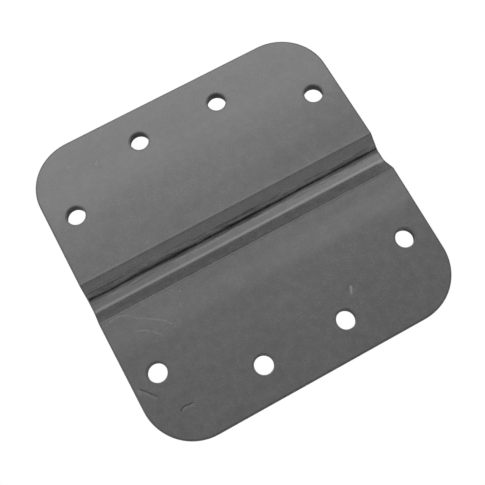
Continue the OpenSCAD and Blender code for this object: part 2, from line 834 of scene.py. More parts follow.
@dataclass(frozen=True)
class Gouge(Mark):
    """A narrow score along a few straight strokes.

    Its bottom leans outwards by a share of its half width, so that its inner wall is the wider.
    """

    strokes: tuple[Spot, ...]
    half_width: float
    depth: float
    lean: float = 0.0
    spacing: float = 0.5 * MM
    room: float = 1.8

    def _legs(self) -> list[tuple[Vector, Vector]]:
        """The start and end of each stroke."""
        corners = [Vector(p) for p in self.strokes]
        return list(zip(corners, corners[1:]))

    def _offset(self, place: Vector) -> Vector:
        """Finds how far off the strokes a place is.

        Args:
            place: A place of the face.

        Returns:
            The way to it from the nearest point of the strokes.
        """
        found = []
        for a, b in self._legs():
            run = b - a
            t = max(0.0, min(1.0, (place - a).dot(run) / run.dot(run)))
            found.append(place - a - run * t)
        return min(found, key=lambda offset: offset.length)

    def points(self) -> list[Vector]:
        """Lists rows of points along each stroke.

        Returns:
            The points.
        """
        found = []
        for a, b in self._legs():
            run = b - a
            across = Vector((-run.y, run.x)).normalized()
            if across.y < 0:
                across = -across
            count = max(2, round(run.length / self.spacing))
            for i in range(count):
                for row in (-1.0, -0.6, -0.2, 0.2, self.lean, 1.0):
                    found.append(a + run * ((i + 0.5) / count) + across * (self.half_width * row))
        return found

    def depth_at(self, place: Vector) -> float:
        """Works out a rounded trough, deepest where it leans to.

        Args:
            place: A place of the face.

        Returns:
            The depth there.
        """
        offset = self._offset(place)
        off = offset.length / self.half_width * (1 if offset.y > 0 else -1) - self.lean
        wall = 1 - self.lean if off > 0 else 1 + self.lean
        return self.depth * (1 - min(1.0, abs(off) / wall) ** 2) ** 2

    def covers(self, place: Vector) -> bool:
        """Whether the place is in the gouge or close to it."""
        return self._offset(place).length < self.half_width * self.room


# --------------------------------------------------------------------------------------
# Flat blanks
# --------------------------------------------------------------------------------------


class Blank:
    """A stretch of sheet laid flat, with the labels that the press and the coat read."""

    def __init__(self, sizes: PlateSizes, edge: EdgeProfile) -> None:
        """Starts an empty blank.

        Args:
            sizes: The plate's sizes.
            edge: The profile of its cut edges.
        """
        self.sizes = sizes
        self.levels = edge.levels()
        self.bm = bmesh.new()
        self.stretch = self.bm.verts.layers.int.new(STRETCH)
        self.along = self.bm.verts.layers.float.new(ALONG)
        self.under_along = self.bm.verts.layers.float.new(UNDER)
        self.run = self.bm.verts.layers.float.new(RUN)
        self.rim = self.bm.verts.layers.float.new(RIM)
        self.cut_edge = self.bm.faces.layers.int.new(CUT_EDGE)

    def vertex(self, place: Sequence[float], wear: float = 0.0, row: "Row | None" = None) -> Vert:
        """Adds a point with its labels.

        Args:
            place: Where it lies on the flat blank, below the face at Z 0.
            wear: How exposed it is to rubbing, from 0 to 1, which the coat paints lighter as rubbed
                coat and painted highlight.
            row: The row of a strip that it belongs to; a leaf's points have none.

        Returns:
            The point.
        """
        made = self.bm.verts.new(place)
        made[self.rim] = wear
        if row is not None:
            made[self.stretch] = row.stretch.value
            made[self.along] = row.along
            made[self.under_along] = row.under_along
            made[self.run] = row.run
        return made

    def skin(self, rings: Sequence[Sequence[Vert]], closed: bool = False) -> None:
        """Joins each ring to the next with a row of quads.

        Args:
            rings: Rings of equally many points, one at each level of the cut edge.
            closed: Whether a ring's last point joins its first.
        """
        for i, (upper, lower) in enumerate(zip(rings, rings[1:])):
            count = len(upper) if closed else len(upper) - 1
            for j in range(count):
                k = (j + 1) % len(upper)
                made = self.bm.faces.new((upper[j], upper[k], lower[k], lower[j]))
                # The first and the last row are the flat margins.
                made[self.cut_edge] = int(0 < i < len(self.levels) - 2)

    def seam(
        self,
        face_row: Sequence[Vert],
        under_row: Sequence[Vert],
        left: Sequence[Vert],
        right: Sequence[Vert],
        outwards: int,
    ) -> None:
        """Closes the blank where the next stretch goes on.

        Args:
            face_row: The seam's points on the face, from left to right.
            under_row: The same on the underside.
            left: The left edge's levels at the seam, from the face down.
            right: The right edge's levels at the seam, from the face down.
            outwards: The sign of the seam's outward side along Y.
        """
        made = [self.bm.faces.new(left), self.bm.faces.new(list(reversed(right)))]
        for i in range(len(face_row) - 1):
            quad = (face_row[i + 1], face_row[i], under_row[i], under_row[i + 1])
            made.append(self.bm.faces.new(quad))
        if outwards > 0:
            for f in made:
                f.normal_flip()
        inside = set(made)
        for f in made:
            for e in f.edges:
                e.smooth = all(other in inside for other in e.link_faces)

    def columns(self, spacing: float = 2.4 * MM) -> list[float]:
        """Spaces out the points of the seams.

        Args:
            spacing: Roughly how far apart they lie.

        Returns:
            Their places along X, between the two edges' margins.
        """
        reach = self.sizes.half_width - self.levels[0].inset
        count = round(2 * reach / spacing)
        return [reach * (2 * i / count - 1) for i in range(count + 1)]

    def laid_out(self, name: str, side: Side) -> bpy.types.Object:
        """Turns the blank into an object, mirrored if it is for the front side.

        Args:
            name: The object's name.
            side: The side of the channel; the blank was drawn for the rear.

        Returns:
            The object, in the scene.
        """
        if side is Side.FRONT:
            bmesh.ops.scale(self.bm, vec=(1, -1, 1), verts=self.bm.verts)
            bmesh.ops.reverse_faces(self.bm, faces=self.bm.faces)
        for f in self.bm.faces:
            f.smooth = True
        mesh = bpy.data.meshes.new(name)
        self.bm.to_mesh(mesh)
        self.bm.free()
        made = bpy.data.objects.new(name, mesh)
        bpy.context.scene.collection.objects.link(made)
        return made


@dataclass(frozen=True)
class Row:
    """One row of a strip, with its shares from 0 to 1 of the bend that the press gives it."""

    stretch: Stretch
    along: float = 0.0
    under_along: float = 0.0
    run: float = 0.0
    wear: float = 0.0


class StripBlank(Blank):
    """The blank of a flank or of the channel's floor: rows of points that run along X."""

    def loft(self, rows: Sequence[tuple[float, Row]]) -> None:
        """Draws the strip.

        Args:
            rows: Each row with its place across the flat blank.
        """
        columns = self.columns()
        half = self.sizes.half_width
        bottom = self.levels[-1].depth
        walls = self.levels[1:-1]
        rings, faces, unders, lefts, rights = [], [], [], [], []
        for y, row in rows:
            face = [self.vertex((x, y, 0.0), row.wear, row) for x in columns]
            under = [self.vertex((x, y, -bottom), 0.0, row) for x in columns]
            right, left = (
                [self.vertex((end * (half - n.inset), y, -n.depth), n.wear, row) for n in walls]
                for end in (1, -1)
            )
            rings.append(face + right + under[::-1] + left[::-1])
            faces.append(face)
            unders.append(under)
            lefts.append([face[0], *left, under[0]])
            rights.append([face[-1], *right, under[-1]])
        wide, high = len(columns), len(walls)
        for lower, upper in zip(rings, rings[1:]):
            for j in range(len(lower)):
                k = (j + 1) % len(lower)
                made = self.bm.faces.new((lower[j], lower[k], upper[k], upper[j]))
                on_right = wide <= j < wide + high - 1
                on_left = 2 * wide + high <= j < 2 * (wide + high) - 1
                made[self.cut_edge] = int(on_right or on_left)
        for i, outwards in ((0, -1), (-1, 1)):
            self.seam(faces[i], unders[i], lefts[i], rights[i], outwards)


class LeafBlank(Blank):
    """The blank of a leaf: an outline with two round corners and four holes."""

    HOLE_POINTS = 64
    CORNER_POINTS = 24
    GRID = 2.2 * MM
    # Points and reach of the rings round each hole, and what the grid leaves free for them.
    HOLE_RINGS = ((40, 1.3 * MM), (28, 2.9 * MM))
    RINGS_REACH = 3.2 * MM
    # The least room of a grid point, in shares of the grid's spacing.
    GRID_ROOM = 0.55
    # A chord between two points of a hole's ring lies a little inside the circle.
    CHORD_SHARE = 0.9985

    def outline(self, inset: float) -> list[Vector]:
        """The leaf's edge, from its left end at the seam round to its right end.

        Args:
            inset: How far inside the leaf's real edge the line runs.

        Returns:
            Points at the same stations whatever the inset is.
        """
        s = self.sizes
        straight = s.half_width - s.corner_radius
        turn = s.leaf_length - s.corner_radius
        radius = s.corner_radius - inset
        side_count = round((turn - s.leaf_start) / self.GRID)
        edge_count = round(2 * straight / self.GRID)
        left = [
            Vector((inset - s.half_width, s.leaf_start + (turn - s.leaf_start) * i / side_count))
            for i in range(side_count)
        ]
        corner = []
        for i in range(self.CORNER_POINTS + 1):
            a = math.pi - math.pi / 2 * i / self.CORNER_POINTS
            corner.append(Vector((radius * math.cos(a) - straight, radius * math.sin(a) + turn)))
        edge = [
            Vector((straight * (2 * i / edge_count - 1), s.leaf_length - inset))
            for i in range(1, edge_count)
        ]
        first = left + corner
        return first + edge + [Vector((-p.x, p.y)) for p in reversed(first)]

    def ring(self, centre: Spot, radius: float, count: int) -> list[Vector]:
        """Evenly spaced points on a circle."""
        turns = [2 * math.pi * i / count for i in range(count)]
        return [Vector(centre) + Vector((math.cos(a), math.sin(a))) * radius for a in turns]

    def inner_points(self, marks: Sequence[Mark]) -> list[Vector]:
        """Points that carry the face between its edges and its holes.

        Args:
            marks: Marks in the face, which bring points of their own.

        Returns:
            A staggered grid, rings round the holes and the marks' own points.
        """
        s = self.sizes
        found = []
        for centre in s.hole_centres:
            for n, step in self.HOLE_RINGS:
                found += self.ring(centre, s.hole_radius + self.levels[0].inset + step, n)
        for mark in marks:
            found += mark.points()
        row_height = self.GRID * math.sqrt(3) / 2
        reach = s.half_width - self.levels[0].inset
        rows = int((s.leaf_length - s.leaf_start) / row_height)
        count = int(2 * reach / self.GRID)
        for j in range(1, rows):
            y = s.leaf_start + j * row_height
            for i in range(count + 1):
                place = Vector((-reach + self.GRID * (i + 0.5 * (j % 2)), y))
                clear = self.clearance(place) > self.GRID * self.GRID_ROOM
                if clear and not any(mark.covers(place) for mark in marks):
                    found.append(place)
        return found

    def clearance(self, place: Vector) -> float:
        """Works out how much room there is round a place.

        Args:
            place: A place of the face.

        Returns:
            How far it is inside the face's edge and outside the rings of the holes.
        """
        s = self.sizes
        straight = s.half_width - s.corner_radius
        turn = s.leaf_length - s.corner_radius
        over = Vector((max(0.0, abs(place.x) - straight), max(0.0, place.y - turn)))
        if over.x > 0 and over.y > 0:
            edge = s.corner_radius - over.length
        else:
            edge = min(s.half_width - abs(place.x), s.leaf_length - place.y)
        taken = s.hole_radius + self.RINGS_REACH
        rings = [(place - Vector(c)).length - taken for c in s.hole_centres]
        return min(edge - self.levels[0].inset, *rings)

    def cover(
        self, rim: Sequence[Vert], inset: float, depth: float, marks: Sequence[Mark]
    ) -> list[Vert]:
        """Spreads a face over the leaf, with round openings for the holes.

        Args:
            rim: The points of the cut edge that the face starts from.
            inset: How far the face keeps from the edge of each hole.
            depth: The face's depth below the leaf's upper face.
            marks: Marks pressed into this face.

        Returns:
            The face's points along the seam, from left to right.
        """
        s = self.sizes
        seam = [Vector((x, s.leaf_start)) for x in self.columns()][1:-1]
        places = [v.co.to_2d() for v in rim] + list(reversed(seam))
        edges = [(i, (i + 1) % len(places)) for i in range(len(places))]
        for centre in s.hole_centres:
            first = len(places)
            places += self.ring(centre, s.hole_radius + inset, self.HOLE_POINTS)
            loop = range(first, len(places))
            edges += [(a, b) for a, b in zip(loop, [*loop[1:], first])]
        places += self.inner_points(marks)
        vertices = list(rim)
        for place in places[len(rim) :]:
            sink = sum(mark.depth_at(place) for mark in marks)
            vertices.append(self.vertex((place.x, place.y, -depth - sink)))
        out, _, triangles, origins, _, _ = delaunay_2d_cdt(places, edges, [], 0, 1e-9, True)
        opening = (s.hole_radius + inset) * self.CHORD_SHARE
        for triangle in triangles:
            middle = sum((out[i] for i in triangle), Vector((0, 0))) / 3
            if any((middle - Vector(c)).length < opening for c in s.hole_centres):
                continue
            corners = [vertices[origins[i][0]] for i in triangle]
            self.bm.faces.new(corners if depth == 0 else corners[::-1])
        row = vertices[len(rim) : len(rim) + len(seam)][::-1]
        return [rim[0], *row, rim[-1]]

    def draw(self, marks: Sequence[Mark]) -> None:
        """Draws the leaf.

        Args:
            marks: Marks pressed into its upper face.
        """
        rings = []
        for n in self.levels:
            rings.append([self.vertex((p.x, p.y, -n.depth), n.wear) for p in self.outline(n.inset)])
        self.skin(rings)
        first, last = self.levels[0], self.levels[-1]
        face_row = self.cover(rings[0], first.inset, first.depth, marks)
        under_row = self.cover(rings[-1], last.inset, last.depth, [])
        self.seam(face_row, under_row, [r[0] for r in rings], [r[-1] for r in rings], -1)


class HoleWallBlank(Blank):
    """The wall of one hole, round the origin, from the face's opening to the underside's."""

    def draw(self) -> None:
        """Draws the wall as rings, one at each level of the cut edge."""
        count = LeafBlank.HOLE_POINTS
        turns = [2 * math.pi * i / count for i in range(count)]
        rings = []
        for n in self.levels:
            r = self.sizes.hole_radius + n.inset
            places = [(r * math.cos(a), r * math.sin(a), -n.depth) for a in turns]
            rings.append([self.vertex(place, n.wear) for place in places])
        self.skin(rings, closed=True)


# --------------------------------------------------------------------------------------
# Finishes
# --------------------------------------------------------------------------------------


class Effects:
    """Shader node groups for the effects in the coats, each built once."""

    def __init__(self) -> None:
        """Builds the groups."""
        self.grain = self._grain()
        self.scratch = self._scratch()
        self.rub = self._rub()

    def _group(
        self, name: str, vectors: Sequence[str], values: Sequence[str], outputs: Sequence[str]
    ) -> tuple[Graph, bpy.types.Node]:
        """Starts a shader group.

        Args:
            name: The group's name.
            vectors: Names of its vector inputs.
            values: Names of its number inputs.
            outputs: Names of its number outputs.

        Returns:
            The graph to write to and the group's input node.
        """
        tree = bpy.data.node_groups.new(name, "ShaderNodeTree")
        add_sockets(tree, "INPUT", "NodeSocketVector", vectors)
        add_sockets(tree, "INPUT", "NodeSocketFloat", values)
        add_sockets(tree, "OUTPUT", "NodeSocketFloat", outputs)
        graph = Graph(tree)
        return graph, graph.node("NodeGroupInput")

    def _grain(self) -> bpy.types.NodeTree:
        """Builds the sprayed coat: cloudy tone, patches of gloss and a fine orange peel.

        Returns:
            The group.
        """
        g, given = self._group(
            "coat_grain", ["Place"], ["Clouds", "Patches", "Peel"], ["Tone", "Gloss", "Height"]
        )
        place = g.wire(given, "Place")
        clouds = g.noise(place, g.wire(given, "Clouds"), detail=3.0, roughness=0.55)
        patches = g.noise(place, g.wire(given, "Patches"), detail=4.0, roughness=0.6)
        peel = g.noise(place, g.wire(given, "Peel"), detail=2.0, roughness=0.5)
        specks = g.noise(place, g.wire(given, "Peel") * 3.0, detail=1.0)
        g.node(
            "NodeGroupOutput",
            Tone=clouds * 0.22 + patches * 0.48 + peel * 0.3,
            Gloss=patches * 0.6 + peel * 0.4,
            Height=peel * 0.75 + specks * 0.25,
        )
        return g.tree

    def _scratch(self) -> bpy.types.NodeTree:
        """Builds a thin line from one place to another, broken up by noise.

        Returns:
            The group.
        """
        g, given = self._group(
            "hairline_scratch", ["Place", "Start", "End"], ["Half Width", "Wander"], ["Mask"]
        )
        place, start = g.wire(given, "Place"), g.wire(given, "Start")
        half, wander = g.wire(given, "Half Width"), g.wire(given, "Wander")
        flat = (1.0, 1.0, 0.0)
        drift_cells, break_cells = 140.0, 900.0
        drift = g.node("ShaderNodeTexNoise", Vector=place, Scale=drift_cells, Detail=1.0)
        shift = g.vector("SUBTRACT", Wire(g, drift.outputs["Color"]), (0.5, 0.5, 0.5))
        shift = g.vector("MULTIPLY", shift, g.join(wander, wander, wander))
        here = g.vector("SUBTRACT", g.vector("ADD", place, shift), start)
        here = g.vector("MULTIPLY", here, flat)
        run = g.vector("MULTIPLY", g.vector("SUBTRACT", g.wire(given, "End"), start), flat)
        t = g.clamp(g.vector("DOT_PRODUCT", here, run) / g.vector("DOT_PRODUCT", run, run))
        nearest = g.vector("MULTIPLY", run, g.join(t, t, t))
        away = g.vector("LENGTH", g.vector("SUBTRACT", here, nearest))
        line = g.ramp(away / half, 0.25, 1.0, 1.0, 0.0)
        broken = g.ramp(g.noise(place, break_cells, detail=2.0), 0.36, 0.52)
        g.node("NodeGroupOutput", Mask=line * broken)
        return g.tree

    def _rub(self) -> bpy.types.NodeTree:
        """Builds the rubbed coat and painted highlight on the edges, from the sheet's own label of
        how exposed it is.

        Returns:
            The group.
        """
        g, given = self._group("edge_rub", ["Place"], ["Amount"], ["Mask"])
        exposed = g.wire(g.node("ShaderNodeAttribute", {"attribute_name": RIM}), "Fac")
        ragged = g.noise(g.wire(given, "Place"), 700.0, detail=4.0, roughness=0.65)
        mask = g.ramp(ragged * 0.7 + exposed * 0.55, 0.62, 0.95)
        g.node("NodeGroupOutput", Mask=mask * g.wire(given, "Amount"))
        return g.tree

    def place(self, g: Graph, group: bpy.types.NodeTree, **inputs) -> bpy.types.Node:
        """Puts a group into a material.

        Args:
            g: The material's graph.
            group: One of the groups of this class.
            **inputs: Values for the group's inputs, with _ for a space.

        Returns:
            The group node.
        """
        made = g.tree.nodes.new("ShaderNodeGroup")
        made.node_tree = group
        for name, value in inputs.items():
            g.plug(made, name, value)
        return made


@dataclass(frozen=True)
class Streak:
    """A band that runs along X, painted darker or lighter: painted shade and painted light that
    stand in for how the coat catches the light there.

    Its shift in grey runs from one value at the left end of the plate to another at the right.
    """

    start: float
    end: float
    left: float
    right: float
    soft: float = 0.3 * MM

    def shift(self, g: Graph, across: Wire, along: Wire) -> Wire:
        """Works out how much the band's painted light and shade shift the grey.

        Args:
            g: The material's graph.
            across: The place across the channel.
            along: The place along it, from 0 at the left to 1 at the right.

        Returns:
            The shift, which is 0 outside the band.
        """
        inside = g.ramp(across, self.start - self.soft, self.start + self.soft)
        inside = inside * g.ramp(across, self.end - self.soft, self.end + self.soft, 1.0, 0.0)
        return inside * (along * (self.right - self.left) + self.left)


@dataclass(frozen=True)
class ChannelMarks:
    """Bands of painted light and shade, and buckles and wrinkles with painted shade at the rear
    foot.

    Cells are counted a metre, along the channel and across it. Heights are in shares of the
    height of the coat's own peel.
    """

    streaks: tuple[Streak, ...]
    half_width: float = 76.2 * MM
    waver: float = 2.2 * MM
    waver_cells: Spot = (55.0, 170.0)
    buckled: Spot = (0.4 * MM, 5.9 * MM)
    buckle_cells: Spot = (50.0, 240.0)
    buckle_height: float = 75.0
    wrinkled: Spot = (2.4 * MM, 7.0 * MM)
    wrinkle_cells: Spot = (45.0, 950.0)
    wrinkle_height: float = 34.0
    wrinkle_dark: float = 0.035
    # Where the wrinkles and their painted shade thin out along the plate, and what is left of them
    # beyond.
    wrinkle_fade: Spot = (0.15, 0.5)
    wrinkle_rest: float = 0.08

    def apply(self, g: Graph, place: Wire, upwards: Wire) -> tuple[Wire, Wire]:
        """Works out the marks.

        Args:
            g: The material's graph.
            place: The place on the plate.
            upwards: How far the surface faces up, from 0 to 1.

        Returns:
            The shift in grey, which is painted light and shade, and the extra height.
        """
        x, y, _ = g.split(place)
        along = x / (2 * self.half_width) + 0.5
        drift = self._ragged(g, place, self.waver_cells, detail=4.0, roughness=0.6)
        across = y + drift * self.waver
        shift = sum(painted_band.shift(g, across, along) for painted_band in self.streaks)
        buckles = self._ragged(g, place, self.buckle_cells, layer=0.5)
        height = self._zone(g, y, self.buckled) * buckles * self.buckle_height
        folds = self._ragged(g, place, self.wrinkle_cells)
        fade = g.ramp(along, *self.wrinkle_fade, 1.0, self.wrinkle_rest)
        zone = self._zone(g, y, self.wrinkled) * fade
        height = height + zone * folds * self.wrinkle_height
        # Painted shade along the wrinkles, standing in for the dark line at the rear foot.
        shift = shift - zone * g.ramp(folds, 0.0, 0.12) * self.wrinkle_dark
        return shift * upwards, height * upwards

    def _ragged(
        self,
        g: Graph,
        place: Wire,
        cells: Spot,
        layer: float = 0.0,
        detail: float = 2.0,
        roughness: float = 0.5,
    ) -> Wire:
        """Makes a pattern of cells that are stretched along the channel.

        Args:
            g: The material's graph.
            place: The place on the plate.
            cells: How many cells there are a metre along the channel and across it.
            layer: Which slice of the noise to take.
            detail: How many finer layers are added.
            roughness: How strong the finer layers are.

        Returns:
            A value around zero.
        """
        x, y, _ = g.split(place)
        cell = g.join(x * cells[0], y * cells[1], layer)
        return g.noise(cell, 1.0, detail, roughness) - 0.5

    def _zone(self, g: Graph, across: Wire, reach: Spot, soft: float = 1.2 * MM) -> Wire:
        """A band along the channel that fades out at both its edges."""
        low, high = reach
        return g.ramp(across, low, low + soft) * g.ramp(across, high - soft, high, 1.0, 0.0)


@dataclass(frozen=True)
class Scratch:
    """A line in the coat, from one place of the plate straight to another.

    It is light where it is a scuff mark in the coat, and on one dent it is a painted highlight. It
    is dark where it is painted shade along a gouge.
    """

    start: Spot
    end: Spot
    half_width: float
    grimy: bool = False


@dataclass(frozen=True)
class Coat:
    """A satin paint on steel.

    Colours are linear grey values from 0 to 1, and clouds, patches and peel are counted in
    cells a metre.
    """

    name: str
    dark: float
    light: float
    scuffed: float
    index: float
    roughness: float
    roughness_spread: float
    clear_weight: float
    clear_roughness: float
    clouds: float
    patches: float
    peel: float
    peel_height: float
    rub: float
    darkest: float = 0.002
    grimy: float = 0.006
    scuff_roughness: float = 0.12
    grime_roughness: float = 0.45
    scratch_depth: float = 0.8
    scratch_wander: float = 1.2 * MM
    scratches: tuple[Scratch, ...] = ()
    channel: ChannelMarks | None = None

    # What the grain's tone mostly lies between, and how far upwards a face has to point to
    # take marks at all and to take them fully.
    GRAIN_RANGE = (0.3, 0.7)
    FACING_RANGE = (0.1, 0.5)

    def material(self, effects: Effects) -> bpy.types.Material:
        """Builds the coat's material.

        Args:
            effects: The shared node groups.

        Returns:
            The material.
        """
        made = bpy.data.materials.new(self.name)
        made.use_nodes = True
        g = Graph(made.node_tree)
        g.tree.nodes.clear()
        place = g.wire(g.node("ShaderNodeTexCoord"), "Object")
        grain = effects.place(
            g, effects.grain, Place=place, Clouds=self.clouds, Patches=self.patches, Peel=self.peel
        )
        rub = g.wire(effects.place(g, effects.rub, Place=place, Amount=self.rub))
        tone = g.ramp(g.wire(grain, "Tone"), *self.GRAIN_RANGE)
        grey = g.mix(tone, self.dark, self.light)
        height = g.wire(grain, "Height")
        _, _, facing = g.split(g.wire(g.node("ShaderNodeTexCoord"), "Normal"))
        upwards = g.ramp(facing, *self.FACING_RANGE)
        if self.channel is not None:
            # Bands of painted light and shade, and painted shade along the rear foot's wrinkles.
            shift, folds = self.channel.apply(g, place, upwards)
            grey = g.math("MAXIMUM", grey + shift, self.darkest)
            height = height + folds
        scuffs_and_highlight, gouge_shade_mask = self._scratched(g, effects, place, upwards)
        marks = g.math("MAXIMUM", rub, scuffs_and_highlight)
        # Lighter where the coat is rubbed and marked. On edges and shoulders this is also painted
        # highlight, in the holes' walls also painted reflection, and on one dent only a painted
        # highlight.
        grey = g.mix(marks, grey, self.scuffed)
        # Painted shade along the gouges.
        grey = g.mix(gouge_shade_mask, grey, self.grimy)
        gloss = g.wire(grain, "Gloss") - 0.5
        rough = gloss * self.roughness_spread + self.roughness
        rough = rough + marks * self.scuff_roughness + gouge_shade_mask * self.grime_roughness
        height = height - marks * self.scratch_depth
        bare = g.math("MAXIMUM", marks, gouge_shade_mask)
        bump = g.node("ShaderNodeBump", Strength=1.0, Distance=self.peel_height, Height=height)
        paint = g.node(
            "ShaderNodeBsdfPrincipled",
            Base_Color=g.join(grey, grey, grey),
            Roughness=rough,
            Normal=bump.outputs[0],
            Coat_Weight=g.math("SUBTRACT", self.clear_weight, bare * self.clear_weight),
        )
        paint.inputs["IOR"].default_value = self.index
        paint.inputs["Coat Roughness"].default_value = self.clear_roughness
        g.node("ShaderNodeOutputMaterial", Surface=paint.outputs[0])
        return made

    def _scratched(
        self, g: Graph, effects: Effects, place: Wire, upwards: Wire
    ) -> tuple[Value, Value]:
        """Draws the coat's lines, on the upper face only.

        Args:
            g: The material's graph.
            effects: The shared node groups.
            place: The place on the plate.
            upwards: How far the surface faces up, from 0 to 1.

        Returns:
            How far the coat is scuff-marked and painted with a highlight, and how far it is painted
            with shade along gouges, from 0 to 1.
        """
        masks: dict[bool, Value] = {False: 0.0, True: 0.0}
        for scratch in self.scratches:
            line = effects.place(
                g,
                effects.scratch,
                Place=place,
                Start=(*scratch.start, 0.0),
                End=(*scratch.end, 0.0),
                Half_Width=scratch.half_width,
                Wander=self.scratch_wander,
            )
            mask = g.wire(line) * upwards
            masks[scratch.grimy] = g.math("MAXIMUM", masks[scratch.grimy], mask)
        return masks[False], masks[True]


# Each line's half width and the places that it passes, X and Y, in millimetres.
SCUFF_AND_HIGHLIGHT_PATHS = (
    (0.2, (-71.4, -11.6), (-66.9, -10.9), (-63.0, -12.6), (-59.6, -15.9), (-55.2, -18.7)),
    (0.2, (-55.2, -18.7), (-49.2, -22.6), (-46.7, -27.4)),
    (0.2, (-63.1, -20.6), (-59.9, -22.1), (-56.6, -24.4), (-55.0, -26.1), (-52.9, -28.7)),
    (0.5, (-37.5, -13.2), (-37.9, -14.2)),
    (0.5, (-40.1, -19.0), (-40.3, -20.0)),
    # A painted highlight on the lit side of the dent in the front leaf.
    (0.9, (30.1, -49.1), (29.6, -50.1)),
    (0.5, (29.6, -50.1), (28.5, -52.2)),
    (0.8, (-43.0, 61.2), (-43.9, 60.1)),
    (0.6, (-56.1, 66.1), (-56.5, 65.2)),
)
# Painted shade along the two gouges in the front leaf.
SHADED_GOUGE_PATHS = (
    (0.55, (-73.3, -44.4), (-70.2, -47.9), (-67.8, -50.9)),
    (0.5, (-61.7, -60.7), (-59.6, -59.8), (-55.6, -60.2)),
)
COAT_LINES = tuple(
    Scratch((a[0] * MM, a[1] * MM), (b[0] * MM, b[1] * MM), half_width * MM, grimy)
    for grimy, paths in ((False, SCUFF_AND_HIGHLIGHT_PATHS), (True, SHADED_GOUGE_PATHS))
    for half_width, *path in paths
    for a, b in zip(path, path[1:])
)

FACE_COAT = Coat(
    name="satin_charcoal_coat",
    dark=0.026,
    light=0.062,
    scuffed=0.2,
    index=1.8,
    roughness=0.27,
    roughness_spread=0.1,
    clear_weight=0.8,
    clear_roughness=0.17,
    clouds=45.0,
    patches=240.0,
    peel=1100.0,
    peel_height=0.012 * MM,
    rub=0.2,
    scratches=COAT_LINES,
    channel=ChannelMarks(
        streaks=(
            # Painted light and shade: shade in the rear foot's crease and on the floor beside it, a
            # highlight along the floor that grows to the right, shade on the front shoulder's crest,
            # light and shade on the leaves, and light on the front flank.
            Streak(2.9 * MM, 4.0 * MM, -0.022, -0.026, 0.4 * MM),
            Streak(1.5 * MM, 4.6 * MM, -0.014, -0.01, 0.5 * MM),
            Streak(-2.7 * MM, 1.5 * MM, -0.012, 0.078),
            Streak(-10.3 * MM, -9.1 * MM, -0.02, -0.05),
            Streak(40.0 * MM, 58.0 * MM, 0.017, 0.017, 6.0 * MM),
            Streak(14.0 * MM, 24.0 * MM, 0.0, -0.016, 3.0 * MM),
            Streak(-27.0 * MM, -17.0 * MM, 0.012, 0.032, 3.0 * MM),
            Streak(-9.9 * MM, -3.2 * MM, 0.026, 0.026, 0.6 * MM),
        )
    ),
)

EDGE_COAT = Coat(
    name="cut_edge_coat",
    dark=0.03,
    light=0.06,
    scuffed=0.15,
    index=1.6,
    roughness=0.3,
    roughness_spread=0.2,
    clear_weight=0.35,
    clear_roughness=0.1,
    clouds=160.0,
    patches=600.0,
    peel=1900.0,
    peel_height=0.05 * MM,
    rub=0.5,
)


# --------------------------------------------------------------------------------------
# The plate
# --------------------------------------------------------------------------------------


